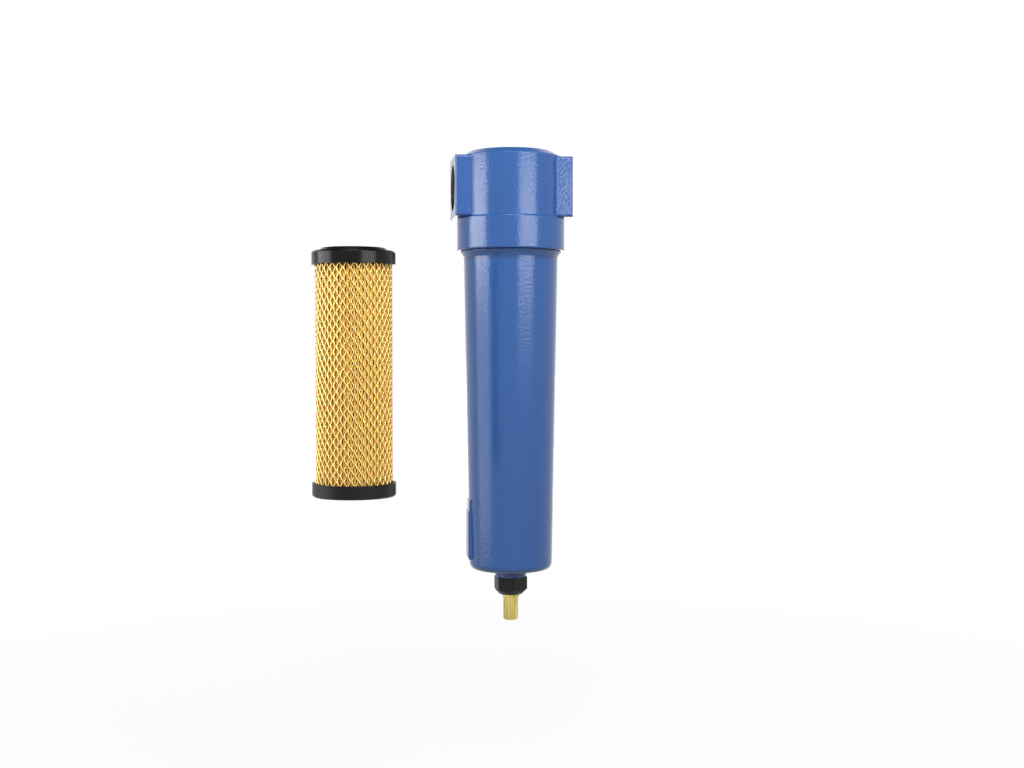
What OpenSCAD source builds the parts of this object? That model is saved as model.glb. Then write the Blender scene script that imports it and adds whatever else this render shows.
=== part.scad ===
// Compressed air filter: die-cast head, screwed bowl with float drain, and the filter element beside it.
// Millimetres, +Z up. The origin is the middle of the inlet port's mouth, and +X runs along the flow.

/* [Head casting] */
// Distance between the two port faces
face_to_face = 125; // [116:1:150]
// Side of the square port bosses
boss_side = 64; // [60:0.5:72]
// Rounding of the boss edges
boss_edge_r = 2.5; // [1:0.5:4]
// Outside diameter of the upper head
head_d = 110; // [106:1:114]
// Height of the head's top above the port axis
head_top = 38.6; // [36:0.1:48]
// Width of the chamfer around the head's top
head_bevel_w = 10; // [2:0.5:14]
// Height of the chamfer around the head's top
head_bevel_h = 5.7; // [1:0.1:8]
// Outside diameter of the collar around the bowl's neck
collar_d = 115.5; // [114:0.5:128]
// Height of the collar
collar_h = 34.9; // [30:0.1:44]
// Rounding of the collar's edges
collar_edge_r = 1.5; // [0.5:0.5:2]
// Wall of the casting around its chamber
head_wall = 8; // [6:0.5:10]

/* [Ports and ducts] */
// Diameter of the port bores, at the root of the pipe thread
port_d = 47.8; // [40:0.1:50]
// Depth of the port bores
port_depth = 20; // [16:0.5:22]
// Bore of the inlet duct behind its port
duct_d = 38; // [30:1:40]
// Wall of the ducts inside the head
duct_wall = 4.5; // [3:0.5:5]
// Outside diameter of the spigot that the element is pushed on
spigot_d = 36; // [32:0.5:37]
// Bore of the spigot
spigot_bore_d = 28; // [22:0.5:29]
// Depth of the spigot's end below the port axis
spigot_drop = 58; // [50:1:62]
// Diameter of the gauge ports in the head's top
plug_d = 13.2; // [10:0.1:15]
// Distance between the gauge ports
plug_spacing = 48; // [44:1:56]
// Length of the plugs that close the gauge ports
plug_h = 8; // [6:0.5:10]

/* [Bowl] */
// Bore of the collar, which the bowl's neck screws into
bowl_bore_d = 100; // [98:0.5:102]
// Bore of the bowl's neck
neck_bore_d = 88; // [84:0.5:90]
// Height of the neck above the flange
neck_h = 26; // [22:1:28]
// Diameter of the flange under the collar
flange_d = 105; // [104:0.5:110]
// Height of the flange
flange_h = 3.2; // [3:0.1:8]
// Outside diameter of the wall below the flange
bowl_top_d = 101; // [98:0.5:103]
// Outside diameter of the wall at the bottom
bowl_bottom_d = 89.2; // [84:0.1:96]
// Height from the flange's top to the bottom face
bowl_h = 342.6; // [330:0.1:420]
// Thickness of the wall
bowl_wall = 4.2; // [3:0.1:5]
// Thickness of the floor
bowl_floor = 7; // [5:0.5:9]
// Rounding of the bottom edge
bowl_edge_r = 7; // [4:0.5:8]
// Width of the grip pad on the inlet side
pad_w = 22; // [14:1:30]
// How far the grip pad stands out at the bottom
pad_proud = 2.8; // [1:0.1:4]
// Height of the grip pad
pad_h = 52.5; // [30:0.5:80]
// Height of the low step above the grip pad
pad_step_h = 14; // [8:1:24]
// Height of the grip pad's lower end above the bottom face
pad_base = 11.5; // [10:0.5:30]
// Diameter of the boss under the bottom
drain_boss_d = 33.5; // [30:0.5:40]
// Height of the boss under the bottom
drain_boss_h = 8.7; // [2:0.1:12]
// Hole for the drain's shank
drain_hole_d = 21; // [18:0.5:22]

/* [Float drain] */
// Distance across the flats of the drain nut
nut_af = 32; // [30:0.5:36]
// Height of the drain nut
nut_h = 18.8; // [14:0.1:30]
// Turn of the drain nut's flats
nut_turn = 37; // [0:1:60]
// Thickness of the drain's gasket
gasket_t = 2; // [1:0.5:3]
// Outside diameter of the drain's gasket
gasket_d = 34; // [28:0.5:40]
// Thickness of the drain body's flange
drain_flange_t = 4; // [3:0.5:6]
// Outside diameter of the float cage
cage_d = 54; // [48:1:60]
// Wall of the float cage
cage_wall = 2; // [1.5:0.5:3]
// Height of the float cage
cage_h = 72; // [66:1:90]
// Number of slots in the float cage
cage_slots = 8; // [4:1:12]
// Thickness of the cage's lid
lid_t = 3; // [2:0.5:5]
// Room between the float and its cage
float_room = 2; // [1:0.5:4]
// Height of the float
float_h = 50; // [40:1:52]
// Diameter of the float's stem
stem_d = 8; // [6:0.5:10]
// Length of the float's stem
stem_h = 22; // [18:1:30]
// Diameter of the drain body's hub
hub_d = 16; // [13:0.5:20]
// Height of the drain body's hub
hub_h = 6; // [4:0.5:8]
// Outside diameter of the valve seat
seat_d = 9; // [7:0.5:11]
// Bore of the valve seat
seat_bore_d = 4; // [3:0.5:5]
// Diameter of the valve needle
needle_d = 6; // [5.5:0.1:8]
// Outside diameter of the brass outlet
outlet_d = 16.2; // [12:0.1:18]
// Length of the brass outlet below its collar
outlet_h = 24.8; // [15:0.1:40]
// Bore of the brass outlet
outlet_bore_d = 10; // [8:0.5:12]
// Diameter of the brass outlet's collar
outlet_collar_d = 18.5; // [18:0.1:20]
// Height of the brass outlet's collar
outlet_collar_h = 3; // [1:0.5:6]
// Diameter of the outlet's spigot inside the drain body
outlet_spigot_d = 12.6; // [11:0.1:14]
// Length of the outlet's spigot
outlet_spigot_h = 14; // [10:0.5:16]

/* [Filter element] */
// How far the end caps' rims stand out round the sleeve
cap_rim = 2.75; // [2.25:0.05:4]
// Height from the base to the top cap's rim
element_h = 228; // [160:1:240]
// Height of the end caps
cap_h = 12.7; // [9:0.1:20]
// Thickness of the end caps' plates
cap_plate_t = 4; // [3:0.5:6]
// Bevel of the end caps' edges
cap_bevel = 1.6; // [0.5:0.1:2]
// Diameter of the raised middle of the top cap
cap_crown_d = 62.5; // [54:0.5:68]
// Height of the raised middle of the top cap
cap_crown_h = 2.8; // [1:0.1:6]
// Depth of the socket below the top cap's plate
socket_h = 16; // [13:0.5:20]
// Wall of the socket
socket_wall = 4.2; // [3.8:0.1:4.4]
// Outside diameter of the expanded-metal sleeve
sleeve_d = 72.5; // [70:0.1:74]
// Thickness of the expanded metal
sleeve_t = 0.9; // [0.5:0.1:1.5]
// Width of the sleeve's strands
strand_w = 1.6; // [1:0.1:2.5]
// Columns of openings round the sleeve
mesh_cols = 20; // [12:1:24]
// Rows of openings up the sleeve
mesh_rows = 13; // [6:1:16]
// Number of pleats
pleats = 64; // [36:1:72]
// Thickness of the pleated paper
paper_t = 0.6; // [0.4:0.1:0.8]
// Thickness of the bonding discs
bond_t = 2.5; // [1:0.5:4]
// Thickness of the support tube's wall
core_t = 1; // [0.6:0.1:1.5]
// Diameter of the support tube's holes
core_hole_d = 8; // [5:0.5:10]
// Columns of holes round the support tube
core_cols = 8; // [6:1:10]
// Rows of holes up the support tube
core_rows = 10; // [6:1:14]

/* [Placing of the removed element] */
// How far it stands to the inlet side of the housing's axis
element_side = 171; // [140:1:260]
// How far it stands in front of the housing's axis
element_front = 177; // [0:1:260]
// Depth of its base below the port axis
element_drop = 309; // [230:1:470]

/* [Seals and clearances] */
// Cord of the bowl's ring
bowl_ring_cord = 3; // [2:0.1:3.5]
// Cord of the element's ring
element_ring_cord = 3; // [2:0.1:3.2]
// Cord of the outlet's ring
outlet_ring_cord = 2; // [1.6:0.1:2.2]
// Room between a ring and the bore or groove beside it
ring_gap = 0.1; // [0.05:0.01:0.2]
// Radial room of the plain cylinders that stand for threads
thread_gap = 0.3; // [0.1:0.05:0.5]
// Room between faces that are screwed against each other
seat_gap = 0.2; // [0.1:0.05:0.4]
// Radial room of parts that slide in each other
slide_gap = 0.3; // [0.1:0.05:0.5]
// Radial room of parts that are bonded or pressed in
bond_gap = 0.05; // [0.02:0.01:0.1]

/* [Hidden] */
$fn = 96;
over = 1;
axis_x = face_to_face / 2;
element_d = sleeve_d + 2 * cap_rim;

collar_top_z = -boss_side / 2;
collar_z = collar_top_z - collar_h;
chamber_r = head_d / 2 - head_wall;
chamber_top_z = head_top - head_wall;
neck_room = 1;
chamber_z = collar_z + neck_h + neck_room;
duct_end = spigot_bore_d / 2 + duct_wall;
plug_recess = 0.6;
plug_socket_af = 6;
plug_socket_h = 4;
gauge_hole_d = 5;
spigot_lead = 1.5;

bowl_z = collar_z - seat_gap;
bowl_bottom_z = bowl_z - bowl_h;
floor_z = bowl_bottom_z + bowl_floor;
neck_r = bowl_bore_d / 2 - thread_gap;
neck_lead = 1;
bowl_ring_r = bowl_bore_d / 2 - ring_gap - bowl_ring_cord / 2;
bowl_ring_z = bowl_z + neck_h - 5;
flange_edge = 1.2;
flange_slope = 2;
bowl_wall_z = bowl_z - flange_h - flange_slope;
floor_edge_r = 4;
pad_face = bowl_bottom_d / 2 + pad_proud;
pad_step = 1.1;
pad_slope = 3;

drain_boss_z = bowl_bottom_z - drain_boss_h;
nut_z = drain_boss_z - nut_h;
nut_chamfer = 6;
shank_d = drain_hole_d - 2 * thread_gap;
drain_flange_z = floor_z + gasket_t;
cage_z = drain_flange_z + drain_flange_t;
cage_top_z = cage_z + cage_h;
hub_top_z = cage_z + hub_h;
seat_proud = 1;
seat_z = hub_top_z - hub_h;
seat_top_z = hub_top_z + seat_proud;
seat_mouth_d = needle_d - 0.5;
seat_mouth_h = (seat_mouth_d - seat_bore_d) / 2;
drain_passage_d = 6;
needle_tip_d = 2;
needle_cone_h = (needle_d - needle_tip_d) / 2;
needle_z = seat_top_z - seat_mouth_h + seat_gap;
needle_h = 14;
needle_hold = 6;
float_z = needle_z + needle_h - needle_hold;
float_edge_r = 3;
float_d = cage_d - 2 * cage_wall - 2 * float_room;
outlet_bore_top_z = nut_z + outlet_spigot_h + over;
outlet_socket_d = outlet_spigot_d + 2 * slide_gap;
outlet_z = nut_z - seat_gap;
outlet_ring_r = outlet_socket_d / 2 - ring_gap - outlet_ring_cord / 2;
outlet_ring_z = outlet_z + outlet_spigot_h - 4;
outlet_edge = 1;
outlet_passage_d = 5.5;

socket_d = spigot_d + 2 * slide_gap;
socket_out_d = socket_d + 2 * socket_wall;
element_ring_r = spigot_d / 2 + ring_gap + element_ring_cord / 2;
element_ring_z = element_h - cap_plate_t - socket_h / 2;
skirt_in_d = sleeve_d + 2 * slide_gap;
stack_z = cap_plate_t + bond_t;
stack_top_z = element_h - cap_plate_t - bond_t;
stack_h = stack_top_z - stack_z;
core_in_d = socket_out_d + 2 * slide_gap;
core_out_d = core_in_d + 2 * core_t;
sleeve_flat_r = (sleeve_d / 2 - sleeve_t) * cos(180 / mesh_cols);
pleat_out_r = sleeve_flat_r - slide_gap;
pleat_in_r = core_out_d / 2 + slide_gap;

blue = [0.16, 0.31, 0.62];
black = [0.05, 0.05, 0.055];
brass = [0.76, 0.62, 0.28];
gold = [0.86, 0.74, 0.44];
paper = [0.83, 0.66, 0.30];
steel = [0.70, 0.71, 0.72];
rubber = [0.03, 0.03, 0.03];
resin = [0.62, 0.55, 0.40];
ivory = [0.86, 0.84, 0.78];

// Points of an arc in a profile
function arc(x, y, r, from, to, steps = 8) =
    [for (i = [0:steps]) let (a = from + (to - from) * i / steps) [x + r * cos(a), y + r * sin(a)]];

// One corner of the pleated paper's outline
function pleat_point(r, half_w, a) = [r * cos(a) - half_w * sin(a), r * sin(a) + half_w * cos(a)];

// Outline of the pleats: folds out to r_out and in to r_in, with the given half widths of fold and valley
function pleat_outline(r_out, out_w, r_in, in_w) =
    [for (i = [0:pleats - 1]) each [
        pleat_point(r_out, -out_w, i * 360 / pleats),
        pleat_point(r_out, out_w, i * 360 / pleats),
        pleat_point(r_in, -in_w, (i + 0.5) * 360 / pleats),
        pleat_point(r_in, in_w, (i + 0.5) * 360 / pleats)
    ]];

module on_axis() {
    translate([axis_x, 0, 0])
        children();
}

module at_element() {
    translate([axis_x - element_side, -element_front, -element_drop])
        children();
}

// A cylinder between two heights
module post(d, z0, z1) {
    translate([0, 0, z0])
        cylinder(d = d, h = z1 - z0);
}

// A tube between two heights
module tube(d_out, d_in, z0, z1) {
    difference() {
        post(d_out, z0, z1);
        post(d_in, z0 - over, z1 + over);
    }
}

// A cylinder along X, between two distances from the housing's axis
module bar(d, x0, x1) {
    translate([x0, 0, 0])
        rotate([0, 90, 0])
            cylinder(d = d, h = x1 - x0);
}

// A ring of round cord
module ring(r, cord, z) {
    translate([0, 0, z])
        rotate_extrude()
            translate([r, 0])
                circle(d = cord);
}

// A rectangle with round corners
module round_rect(w, h, r) {
    square([w - 2 * r, h], center = true);
    square([w, h - 2 * r], center = true);
    for (x = [-1, 1], y = [-1, 1])
        translate([x * (w / 2 - r), y * (h / 2 - r)])
            circle(r);
}

module port_bosses() {
    intersection() {
        rotate([90, 0, 90])
            linear_extrude(face_to_face, center = true)
                round_rect(boss_side, boss_side, boss_edge_r);
        linear_extrude(boss_side, center = true)
            round_rect(face_to_face, boss_side, boss_edge_r);
    }
}

module head_body() {
    r = head_d / 2;
    rotate_extrude()
        polygon([
            [0, collar_top_z], [r, collar_top_z],
            [r, head_top - head_bevel_h], [r - head_bevel_w, head_top], [0, head_top]
        ]);
}

// Ducts inside the chamber: both port sleeves, the inlet duct, its spigot and the gauge port bosses
module ducts() {
    sleeve_end = axis_x - port_depth - duct_wall;
    for (side = [-1, 1])
        mirror([side < 0 ? 1 : 0, 0, 0])
            bar(port_d + 2 * duct_wall, sleeve_end, axis_x - boss_edge_r);
    bar(duct_d + 2 * duct_wall, -axis_x + boss_edge_r, duct_end + duct_wall);
    post(spigot_d, -spigot_drop + spigot_lead, 0);
    translate([0, 0, -spigot_drop])
        cylinder(d1 = spigot_d - 2 * spigot_lead, d2 = spigot_d, h = spigot_lead);
    for (side = [-1, 1])
        translate([side * plug_spacing / 2, 0, 0])
            post(plug_d + 2 * duct_wall, duct_d / 2, head_top - head_wall / 2);
}

module head_casting() {
    color(blue)
        difference() {
            union() {
                difference() {
                    union() {
                        head_body();
                        port_bosses();
                    }
                    post(2 * chamber_r, collar_top_z - over, chamber_top_z);
                }
                ducts();
            }
            bar(port_d, -axis_x - over, -axis_x + port_depth);
            bar(duct_d, -axis_x, duct_end);
            bar(port_d, axis_x - port_depth, axis_x + over);
            bar(duct_d, axis_x - port_depth - duct_wall - over, axis_x);
            post(spigot_bore_d, -spigot_drop - over, 0);
            for (side = [-1, 1])
                translate([side * plug_spacing / 2, 0, 0]) {
                    post(plug_d, head_top - plug_recess - plug_h, head_top + over);
                    post(gauge_hole_d, duct_d / 4, head_top);
                }
        }
}

// Lower ring of the same casting, which the bowl's neck screws into
module head_collar() {
    c = collar_d / 2 - collar_edge_r;
    color(blue)
        rotate_extrude()
            polygon(concat(
                [[bowl_bore_d / 2, collar_z]],
                arc(c, collar_z + collar_edge_r, collar_edge_r, -90, 0, 4),
                arc(c, collar_top_z - collar_edge_r, collar_edge_r, 0, 90, 4),
                [[chamber_r, collar_top_z], [chamber_r, chamber_z], [bowl_bore_d / 2, chamber_z]]
            ));
}

module gauge_port_plugs() {
    top = head_top - plug_recess;
    color(brass)
        for (side = [-1, 1])
            translate([side * plug_spacing / 2, 0, 0])
                difference() {
                    post(plug_d - 2 * bond_gap, top - plug_h, top);
                    translate([0, 0, top - plug_socket_h])
                        cylinder(d = plug_socket_af / cos(30), h = plug_socket_h + over, $fn = 6);
                }
}

module bowl_o_ring() {
    color(rubber)
        ring(bowl_ring_r, bowl_ring_cord, bowl_ring_z);
}

// Upper ring of the bowl's casting: the flange under the collar and the neck with the seal's groove
module bowl_neck() {
    groove_h = bowl_ring_cord + 4 * ring_gap;
    groove_r = bowl_ring_r - bowl_ring_cord / 2 - ring_gap;
    color(blue)
        difference() {
            rotate_extrude()
                polygon([
                    [bowl_top_d / 2, bowl_wall_z],
                    [flange_d / 2 - flange_edge / 2, bowl_z - flange_h],
                    [flange_d / 2, bowl_z - flange_h + flange_edge],
                    [flange_d / 2, bowl_z - flange_edge],
                    [flange_d / 2 - flange_edge, bowl_z],
                    [neck_r, bowl_z],
                    [neck_r, bowl_z + neck_h - neck_lead],
                    [neck_r - neck_lead, bowl_z + neck_h],
                    [neck_bore_d / 2, bowl_z + neck_h],
                    [neck_bore_d / 2, bowl_z - flange_h],
                    [bowl_top_d / 2 - bowl_wall, bowl_wall_z]
                ]);
            translate([0, 0, bowl_ring_z])
                tube(bowl_bore_d + over, 2 * groove_r, -groove_h / 2, groove_h / 2);
        }
}

// The tapered wall between its outer and its inner profile, as one revolve
module bowl_shell() {
    top_r = bowl_top_d / 2;
    foot_r = bowl_bottom_d / 2;
    inner_foot_r = foot_r - bowl_wall;
    rotate_extrude()
        polygon(concat(
            [[drain_hole_d / 2, bowl_bottom_z]],
            arc(foot_r - bowl_edge_r, bowl_bottom_z + bowl_edge_r, bowl_edge_r, -90, 0),
            [[top_r, bowl_wall_z], [top_r - bowl_wall, bowl_wall_z]],
            arc(inner_foot_r - floor_edge_r, floor_z + floor_edge_r, floor_edge_r, 0, -90),
            [[drain_hole_d / 2, floor_z]]
        ));
}

module grip_pad() {
    z0 = bowl_bottom_z + pad_base;
    z1 = z0 + pad_h;
    z2 = z1 + pad_step_h;
    root = bowl_bottom_d / 2 - bowl_wall / 2;
    translate([0, pad_w / 2, 0])
        rotate([90, 0, 0])
            linear_extrude(pad_w)
                polygon([
                    [-root, z0], [-pad_face + pad_step, z0], [-pad_face, z0 + pad_slope],
                    [-pad_face, z1 - pad_step], [-pad_face + pad_step, z1],
                    [-pad_face + pad_step, z2 - pad_slope], [-root, z2]
                ]);
}

module bowl() {
    color(blue)
        union() {
            bowl_shell();
            grip_pad();
            tube(drain_boss_d, drain_hole_d, drain_boss_z, bowl_bottom_z + over);
        }
}

module drain_gasket() {
    color(rubber)
        tube(gasket_d, drain_hole_d, floor_z, drain_flange_z);
}

module drain_body() {
    color(ivory)
        difference() {
            union() {
                post(cage_d, drain_flange_z, cage_z);
                post(shank_d, nut_z, drain_flange_z + over);
                post(hub_d, cage_z - over, hub_top_z);
            }
            post(outlet_socket_d, nut_z - over, outlet_bore_top_z);
            post(drain_passage_d, outlet_bore_top_z - over, hub_top_z);
            post(seat_d + 2 * bond_gap, seat_z, hub_top_z + over);
        }
}

module valve_seat() {
    color(brass)
        difference() {
            post(seat_d, seat_z, seat_top_z);
            post(seat_bore_d, seat_z - over, seat_top_z);
            translate([0, 0, seat_top_z - seat_mouth_h])
                cylinder(d1 = seat_bore_d, d2 = seat_mouth_d, h = seat_mouth_h);
        }
}

module float_cage() {
    slot_w = PI * cage_d / cage_slots / 3;
    slot_end = 8;
    color(ivory)
        difference() {
            tube(cage_d, cage_d - 2 * cage_wall, cage_z, cage_top_z);
            for (i = [0:cage_slots - 1])
                rotate(i * 360 / cage_slots)
                    translate([cage_d / 2 - 2 * cage_wall, -slot_w / 2, cage_z + slot_end])
                        cube([4 * cage_wall, slot_w, cage_h - 2 * slot_end]);
        }
}

module cage_lid() {
    color(ivory)
        difference() {
            union() {
                post(cage_d, cage_top_z, cage_top_z + lid_t);
                post(stem_d + 4 * lid_t, cage_top_z + over, cage_top_z + 2 * lid_t);
            }
            post(stem_d + 2 * slide_gap, cage_top_z - over, cage_top_z + 2 * lid_t + over);
        }
}

module drain_float() {
    r = float_d / 2;
    color(ivory)
        difference() {
            rotate_extrude()
                polygon(concat(
                    [[0, float_z]],
                    arc(r - float_edge_r, float_z + float_edge_r, float_edge_r, -90, 0),
                    arc(r - float_edge_r, float_z + float_h - float_edge_r, float_edge_r, 0, 90),
                    [[stem_d / 2, float_z + float_h]],
                    [[stem_d / 2, float_z + float_h + stem_h]],
                    [[0, float_z + float_h + stem_h]]
                ));
            post(needle_d + 2 * bond_gap, float_z - over, float_z + needle_hold);
        }
}

module valve_needle() {
    color(rubber) {
        translate([0, 0, needle_z])
            cylinder(d1 = needle_tip_d, d2 = needle_d, h = needle_cone_h);
        post(needle_d, needle_z + needle_cone_h, needle_z + needle_h);
    }
}

module drain_nut() {
    corner_d = nut_af / cos(30);
    color(black)
        rotate(nut_turn)
            difference() {
                intersection() {
                    translate([0, 0, nut_z])
                        cylinder(d = corner_d, h = nut_h, $fn = 6);
                    union() {
                        translate([0, 0, nut_z])
                            cylinder(d1 = corner_d - 2 * nut_chamfer, d2 = corner_d, h = nut_chamfer);
                        post(corner_d + over, nut_z + nut_chamfer, drain_boss_z + over);
                    }
                }
                post(shank_d + 2 * thread_gap, nut_z - over, drain_boss_z + over);
            }
}

module outlet_o_ring() {
    color(rubber)
        ring(outlet_ring_r, outlet_ring_cord, outlet_ring_z);
}

module drain_outlet() {
    collar_bottom = outlet_z - outlet_collar_h;
    tip = collar_bottom - outlet_h;
    groove_h = outlet_ring_cord + 4 * ring_gap;
    groove_r = outlet_ring_r - outlet_ring_cord / 2 - ring_gap;
    color(brass)
        difference() {
            union() {
                post(outlet_spigot_d, outlet_z - over, outlet_z + outlet_spigot_h);
                post(outlet_collar_d, collar_bottom, outlet_z);
                post(outlet_d, tip + outlet_edge, collar_bottom + over);
                translate([0, 0, tip])
                    cylinder(d1 = outlet_d - 2 * outlet_edge, d2 = outlet_d, h = outlet_edge);
            }
            post(outlet_bore_d, tip - over, collar_bottom);
            post(outlet_passage_d, collar_bottom - over, outlet_z + outlet_spigot_h + over);
            translate([0, 0, outlet_ring_z])
                tube(outlet_spigot_d + over, 2 * groove_r, -groove_h / 2, groove_h / 2);
        }
}

module element_top_cap() {
    rim = element_d / 2;
    crown = cap_crown_d / 2;
    plate_z = element_h - cap_plate_t;
    groove_h = element_ring_cord + 4 * ring_gap;
    groove_d = 2 * element_ring_r + element_ring_cord + 2 * ring_gap;
    color(black)
        difference() {
            rotate_extrude()
                polygon([
                    [socket_d / 2, plate_z - socket_h], [socket_out_d / 2, plate_z - socket_h],
                    [socket_out_d / 2, plate_z], [skirt_in_d / 2, plate_z],
                    [skirt_in_d / 2, element_h - cap_h],
                    [rim, element_h - cap_h], [rim, element_h - cap_bevel], [rim - cap_bevel, element_h],
                    [crown + cap_bevel, element_h], [crown, element_h + cap_crown_h - cap_bevel],
                    [crown - cap_bevel, element_h + cap_crown_h],
                    [socket_d / 2 + cap_bevel, element_h + cap_crown_h],
                    [socket_d / 2, element_h + cap_crown_h - cap_bevel]
                ]);
            translate([0, 0, element_ring_z])
                tube(groove_d, socket_d - over, -groove_h / 2, groove_h / 2);
        }
}

module element_o_ring() {
    color(rubber)
        ring(element_ring_r, element_ring_cord, element_ring_z);
}

module top_bond() {
    color(resin)
        tube(skirt_in_d - 2 * bond_gap, socket_out_d + 2 * bond_gap, stack_top_z, element_h - cap_plate_t);
}

module bottom_bond() {
    color(resin)
        tube(skirt_in_d - 2 * bond_gap, core_in_d, cap_plate_t, stack_z);
}

module pleated_media() {
    out_half = PI * pleat_out_r / pleats / 2;
    in_half = PI * pleat_in_r / pleats / 2;
    color(paper)
        translate([0, 0, stack_z])
            linear_extrude(stack_h)
                difference() {
                    polygon(pleat_outline(
                        pleat_out_r, out_half + paper_t / 2, pleat_in_r + paper_t, in_half - paper_t / 2
                    ));
                    polygon(pleat_outline(
                        pleat_out_r - paper_t, out_half - paper_t / 2, pleat_in_r, in_half + paper_t / 2
                    ));
                }
}

module inner_core() {
    row_step = stack_h / core_rows;
    color(steel)
        difference() {
            tube(core_out_d, core_in_d, stack_z, stack_top_z);
            for (c = [0:core_cols - 1], r = [0:core_rows - 1])
                rotate((c + (r % 2) / 2) * 360 / core_cols)
                    translate([core_in_d / 2 - over, 0, stack_z + row_step * (r + 0.5)])
                        rotate([0, 90, 0])
                            cylinder(d = core_hole_d, h = core_t + 2 * over);
        }
}

module outer_sleeve() {
    step_z = stack_h / (mesh_rows + 0.5);
    open_w = PI * sleeve_d / mesh_cols - 1.25 * strand_w;
    open_h = step_z - 2 * strand_w;
    color(gold)
        difference() {
            translate([0, 0, stack_z])
                linear_extrude(stack_h)
                    difference() {
                        sleeve_outline(sleeve_d / 2);
                        sleeve_outline(sleeve_d / 2 - sleeve_t);
                    }
            for (c = [0:2 * mesh_cols - 1], r = [0:mesh_rows - 1])
                rotate(c * 180 / mesh_cols)
                    translate([sleeve_d / 2, 0, stack_z + step_z * (0.5 + r + (c % 2) / 2)])
                        rotate([90, 0, 90])
                            linear_extrude(6 * sleeve_t, center = true)
                                polygon([
                                    [open_w / 2, 0], [0, open_h / 2], [-open_w / 2, 0], [0, -open_h / 2]
                                ]);
        }
}

// The sleeve is bent flat by flat, one flat for each column of openings
module sleeve_outline(r) {
    polygon([for (c = [0:mesh_cols - 1]) r * [cos(c * 360 / mesh_cols), sin(c * 360 / mesh_cols)]]);
}

module element_bottom_cap() {
    rim = element_d / 2;
    color(black)
        rotate_extrude()
            polygon([
                [0, 0], [rim - cap_bevel, 0], [rim, cap_bevel], [rim, cap_h], [skirt_in_d / 2, cap_h],
                [skirt_in_d / 2, cap_plate_t], [0, cap_plate_t]
            ]);
}

on_axis() head_casting();
on_axis() head_collar();
on_axis() gauge_port_plugs();
on_axis() bowl_o_ring();
on_axis() bowl_neck();
on_axis() bowl();
on_axis() drain_gasket();
on_axis() drain_body();
on_axis() valve_seat();
on_axis() float_cage();
on_axis() cage_lid();
on_axis() drain_float();
on_axis() valve_needle();
on_axis() drain_nut();
on_axis() outlet_o_ring();
on_axis() drain_outlet();
at_element() element_top_cap();
at_element() element_o_ring();
at_element() top_bond();
at_element() pleated_media();
at_element() inner_core();
at_element() outer_sleeve();
at_element() bottom_bond();
at_element() element_bottom_cap();
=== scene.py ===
"""Compressed air filter in the studio: a blue die-cast housing with its filter element beside it."""

import logging
import math
import random
from dataclasses import dataclass, field
from enum import Enum
from typing import Dict, List, Mapping, Optional, Sequence, Tuple, Union

import bpy
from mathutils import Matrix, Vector


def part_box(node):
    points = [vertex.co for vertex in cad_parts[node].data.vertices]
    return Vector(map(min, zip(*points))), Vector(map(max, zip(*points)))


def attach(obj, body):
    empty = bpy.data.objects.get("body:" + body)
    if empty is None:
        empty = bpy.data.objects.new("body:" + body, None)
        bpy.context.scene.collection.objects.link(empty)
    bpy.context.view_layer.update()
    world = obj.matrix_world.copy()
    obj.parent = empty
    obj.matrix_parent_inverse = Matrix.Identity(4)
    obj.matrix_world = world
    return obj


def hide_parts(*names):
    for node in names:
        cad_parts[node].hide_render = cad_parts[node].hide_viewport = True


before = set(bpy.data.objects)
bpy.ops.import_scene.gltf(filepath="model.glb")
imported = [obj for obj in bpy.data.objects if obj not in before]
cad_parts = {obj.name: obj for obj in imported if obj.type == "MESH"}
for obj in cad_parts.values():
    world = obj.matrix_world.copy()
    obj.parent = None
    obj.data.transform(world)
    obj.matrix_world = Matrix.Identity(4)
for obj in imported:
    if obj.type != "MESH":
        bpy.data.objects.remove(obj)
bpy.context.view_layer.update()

LOG = logging.getLogger("air_filter")
MM = 0.001
TURN = 2 * math.pi
Point = Tuple[float, float, float]
Span = Tuple[float, float]
Value = Union["Sock", float, int, Sequence[float]]
WHITE: Point = (1.0, 1.0, 1.0)


class Sock:
    """A shader socket that takes part in Python arithmetic."""

    def __init__(self, shader: "Shader", socket: bpy.types.NodeSocket) -> None:
        """Keeps the socket and the shader that its new nodes go to."""
        self.shader, self.socket = shader, socket

    def math(self, operation: str, *values: Value) -> "Sock":
        """Adds one Math node.

        Args:
            operation: the node's operation.
            values: what goes into its sockets, in order.
        Returns:
            The node's result.
        """
        return self.shader.node("ShaderNodeMath", {"operation": operation}, dict(enumerate(values)))

    def __add__(self, other: Value) -> "Sock":
        """self + other"""
        return self.math("ADD", self, other)

    __radd__ = __add__

    def __sub__(self, other: Value) -> "Sock":
        """self - other"""
        return self.math("SUBTRACT", self, other)

    def __rsub__(self, other: Value) -> "Sock":
        """other - self"""
        return self.math("SUBTRACT", other, self)

    def __mul__(self, other: Value) -> "Sock":
        """self * other"""
        return self.math("MULTIPLY", self, other)

    __rmul__ = __mul__

    def __pow__(self, other: Value) -> "Sock":
        """self ** other"""
        return self.math("POWER", self, other)

    def __rpow__(self, other: Value) -> "Sock":
        """other ** self"""
        return self.math("POWER", other, self)

    def __abs__(self) -> "Sock":
        """Size without the sign."""
        return self.math("ABSOLUTE", self)

    def most(self, other: Value) -> "Sock":
        """The larger of two values."""
        return self.math("MAXIMUM", self, other)

    def sine(self) -> "Sock":
        """Sine of an angle in radians."""
        return self.math("SINE", self)

    def rise(self, low: float, high: float) -> "Sock":
        """Soft step.

        Args:
            low: value where the step starts from 0.
            high: value where it reaches 1.
        Returns:
            A value from 0 to 1.
        """
        settings = {"interpolation_type": "SMOOTHSTEP"}
        return self.shader.node("ShaderNodeMapRange", settings, {0: self, 1: low, 2: high})


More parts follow.
